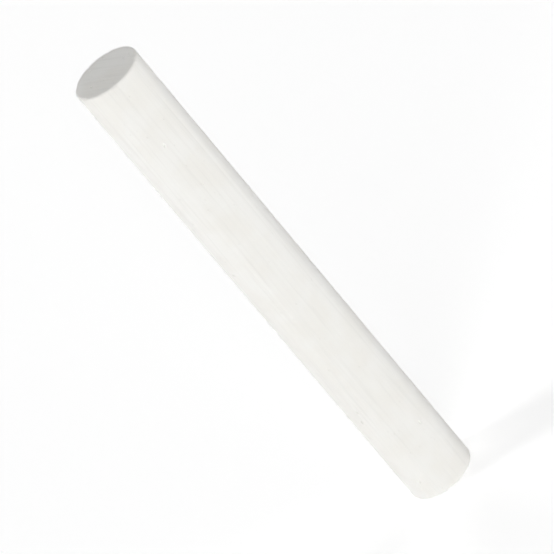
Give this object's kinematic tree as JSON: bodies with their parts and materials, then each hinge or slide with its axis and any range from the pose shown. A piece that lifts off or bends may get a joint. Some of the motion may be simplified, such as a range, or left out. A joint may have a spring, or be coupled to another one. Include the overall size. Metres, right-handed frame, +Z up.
{
  "type": "chalk stick",
  "caption": "Straight round stick of white blackboard chalk: one solid rod with flat ends and softly rounded rims, for writing on a board.",
  "frame": {"origin": "middle of the flat end that the stick stands on", "axes": "+Z runs up the stick, from the standing end to the top end; X and Y are any two directions across it, because the stick is round"},
  "size_m": [0.01, 0.01, 0.08],
  "materials": {
    "chalk": "matte"
  },
  "bodies": {
    "root": {"chalk_stick": "chalk"}
  },
  "joints": []
}
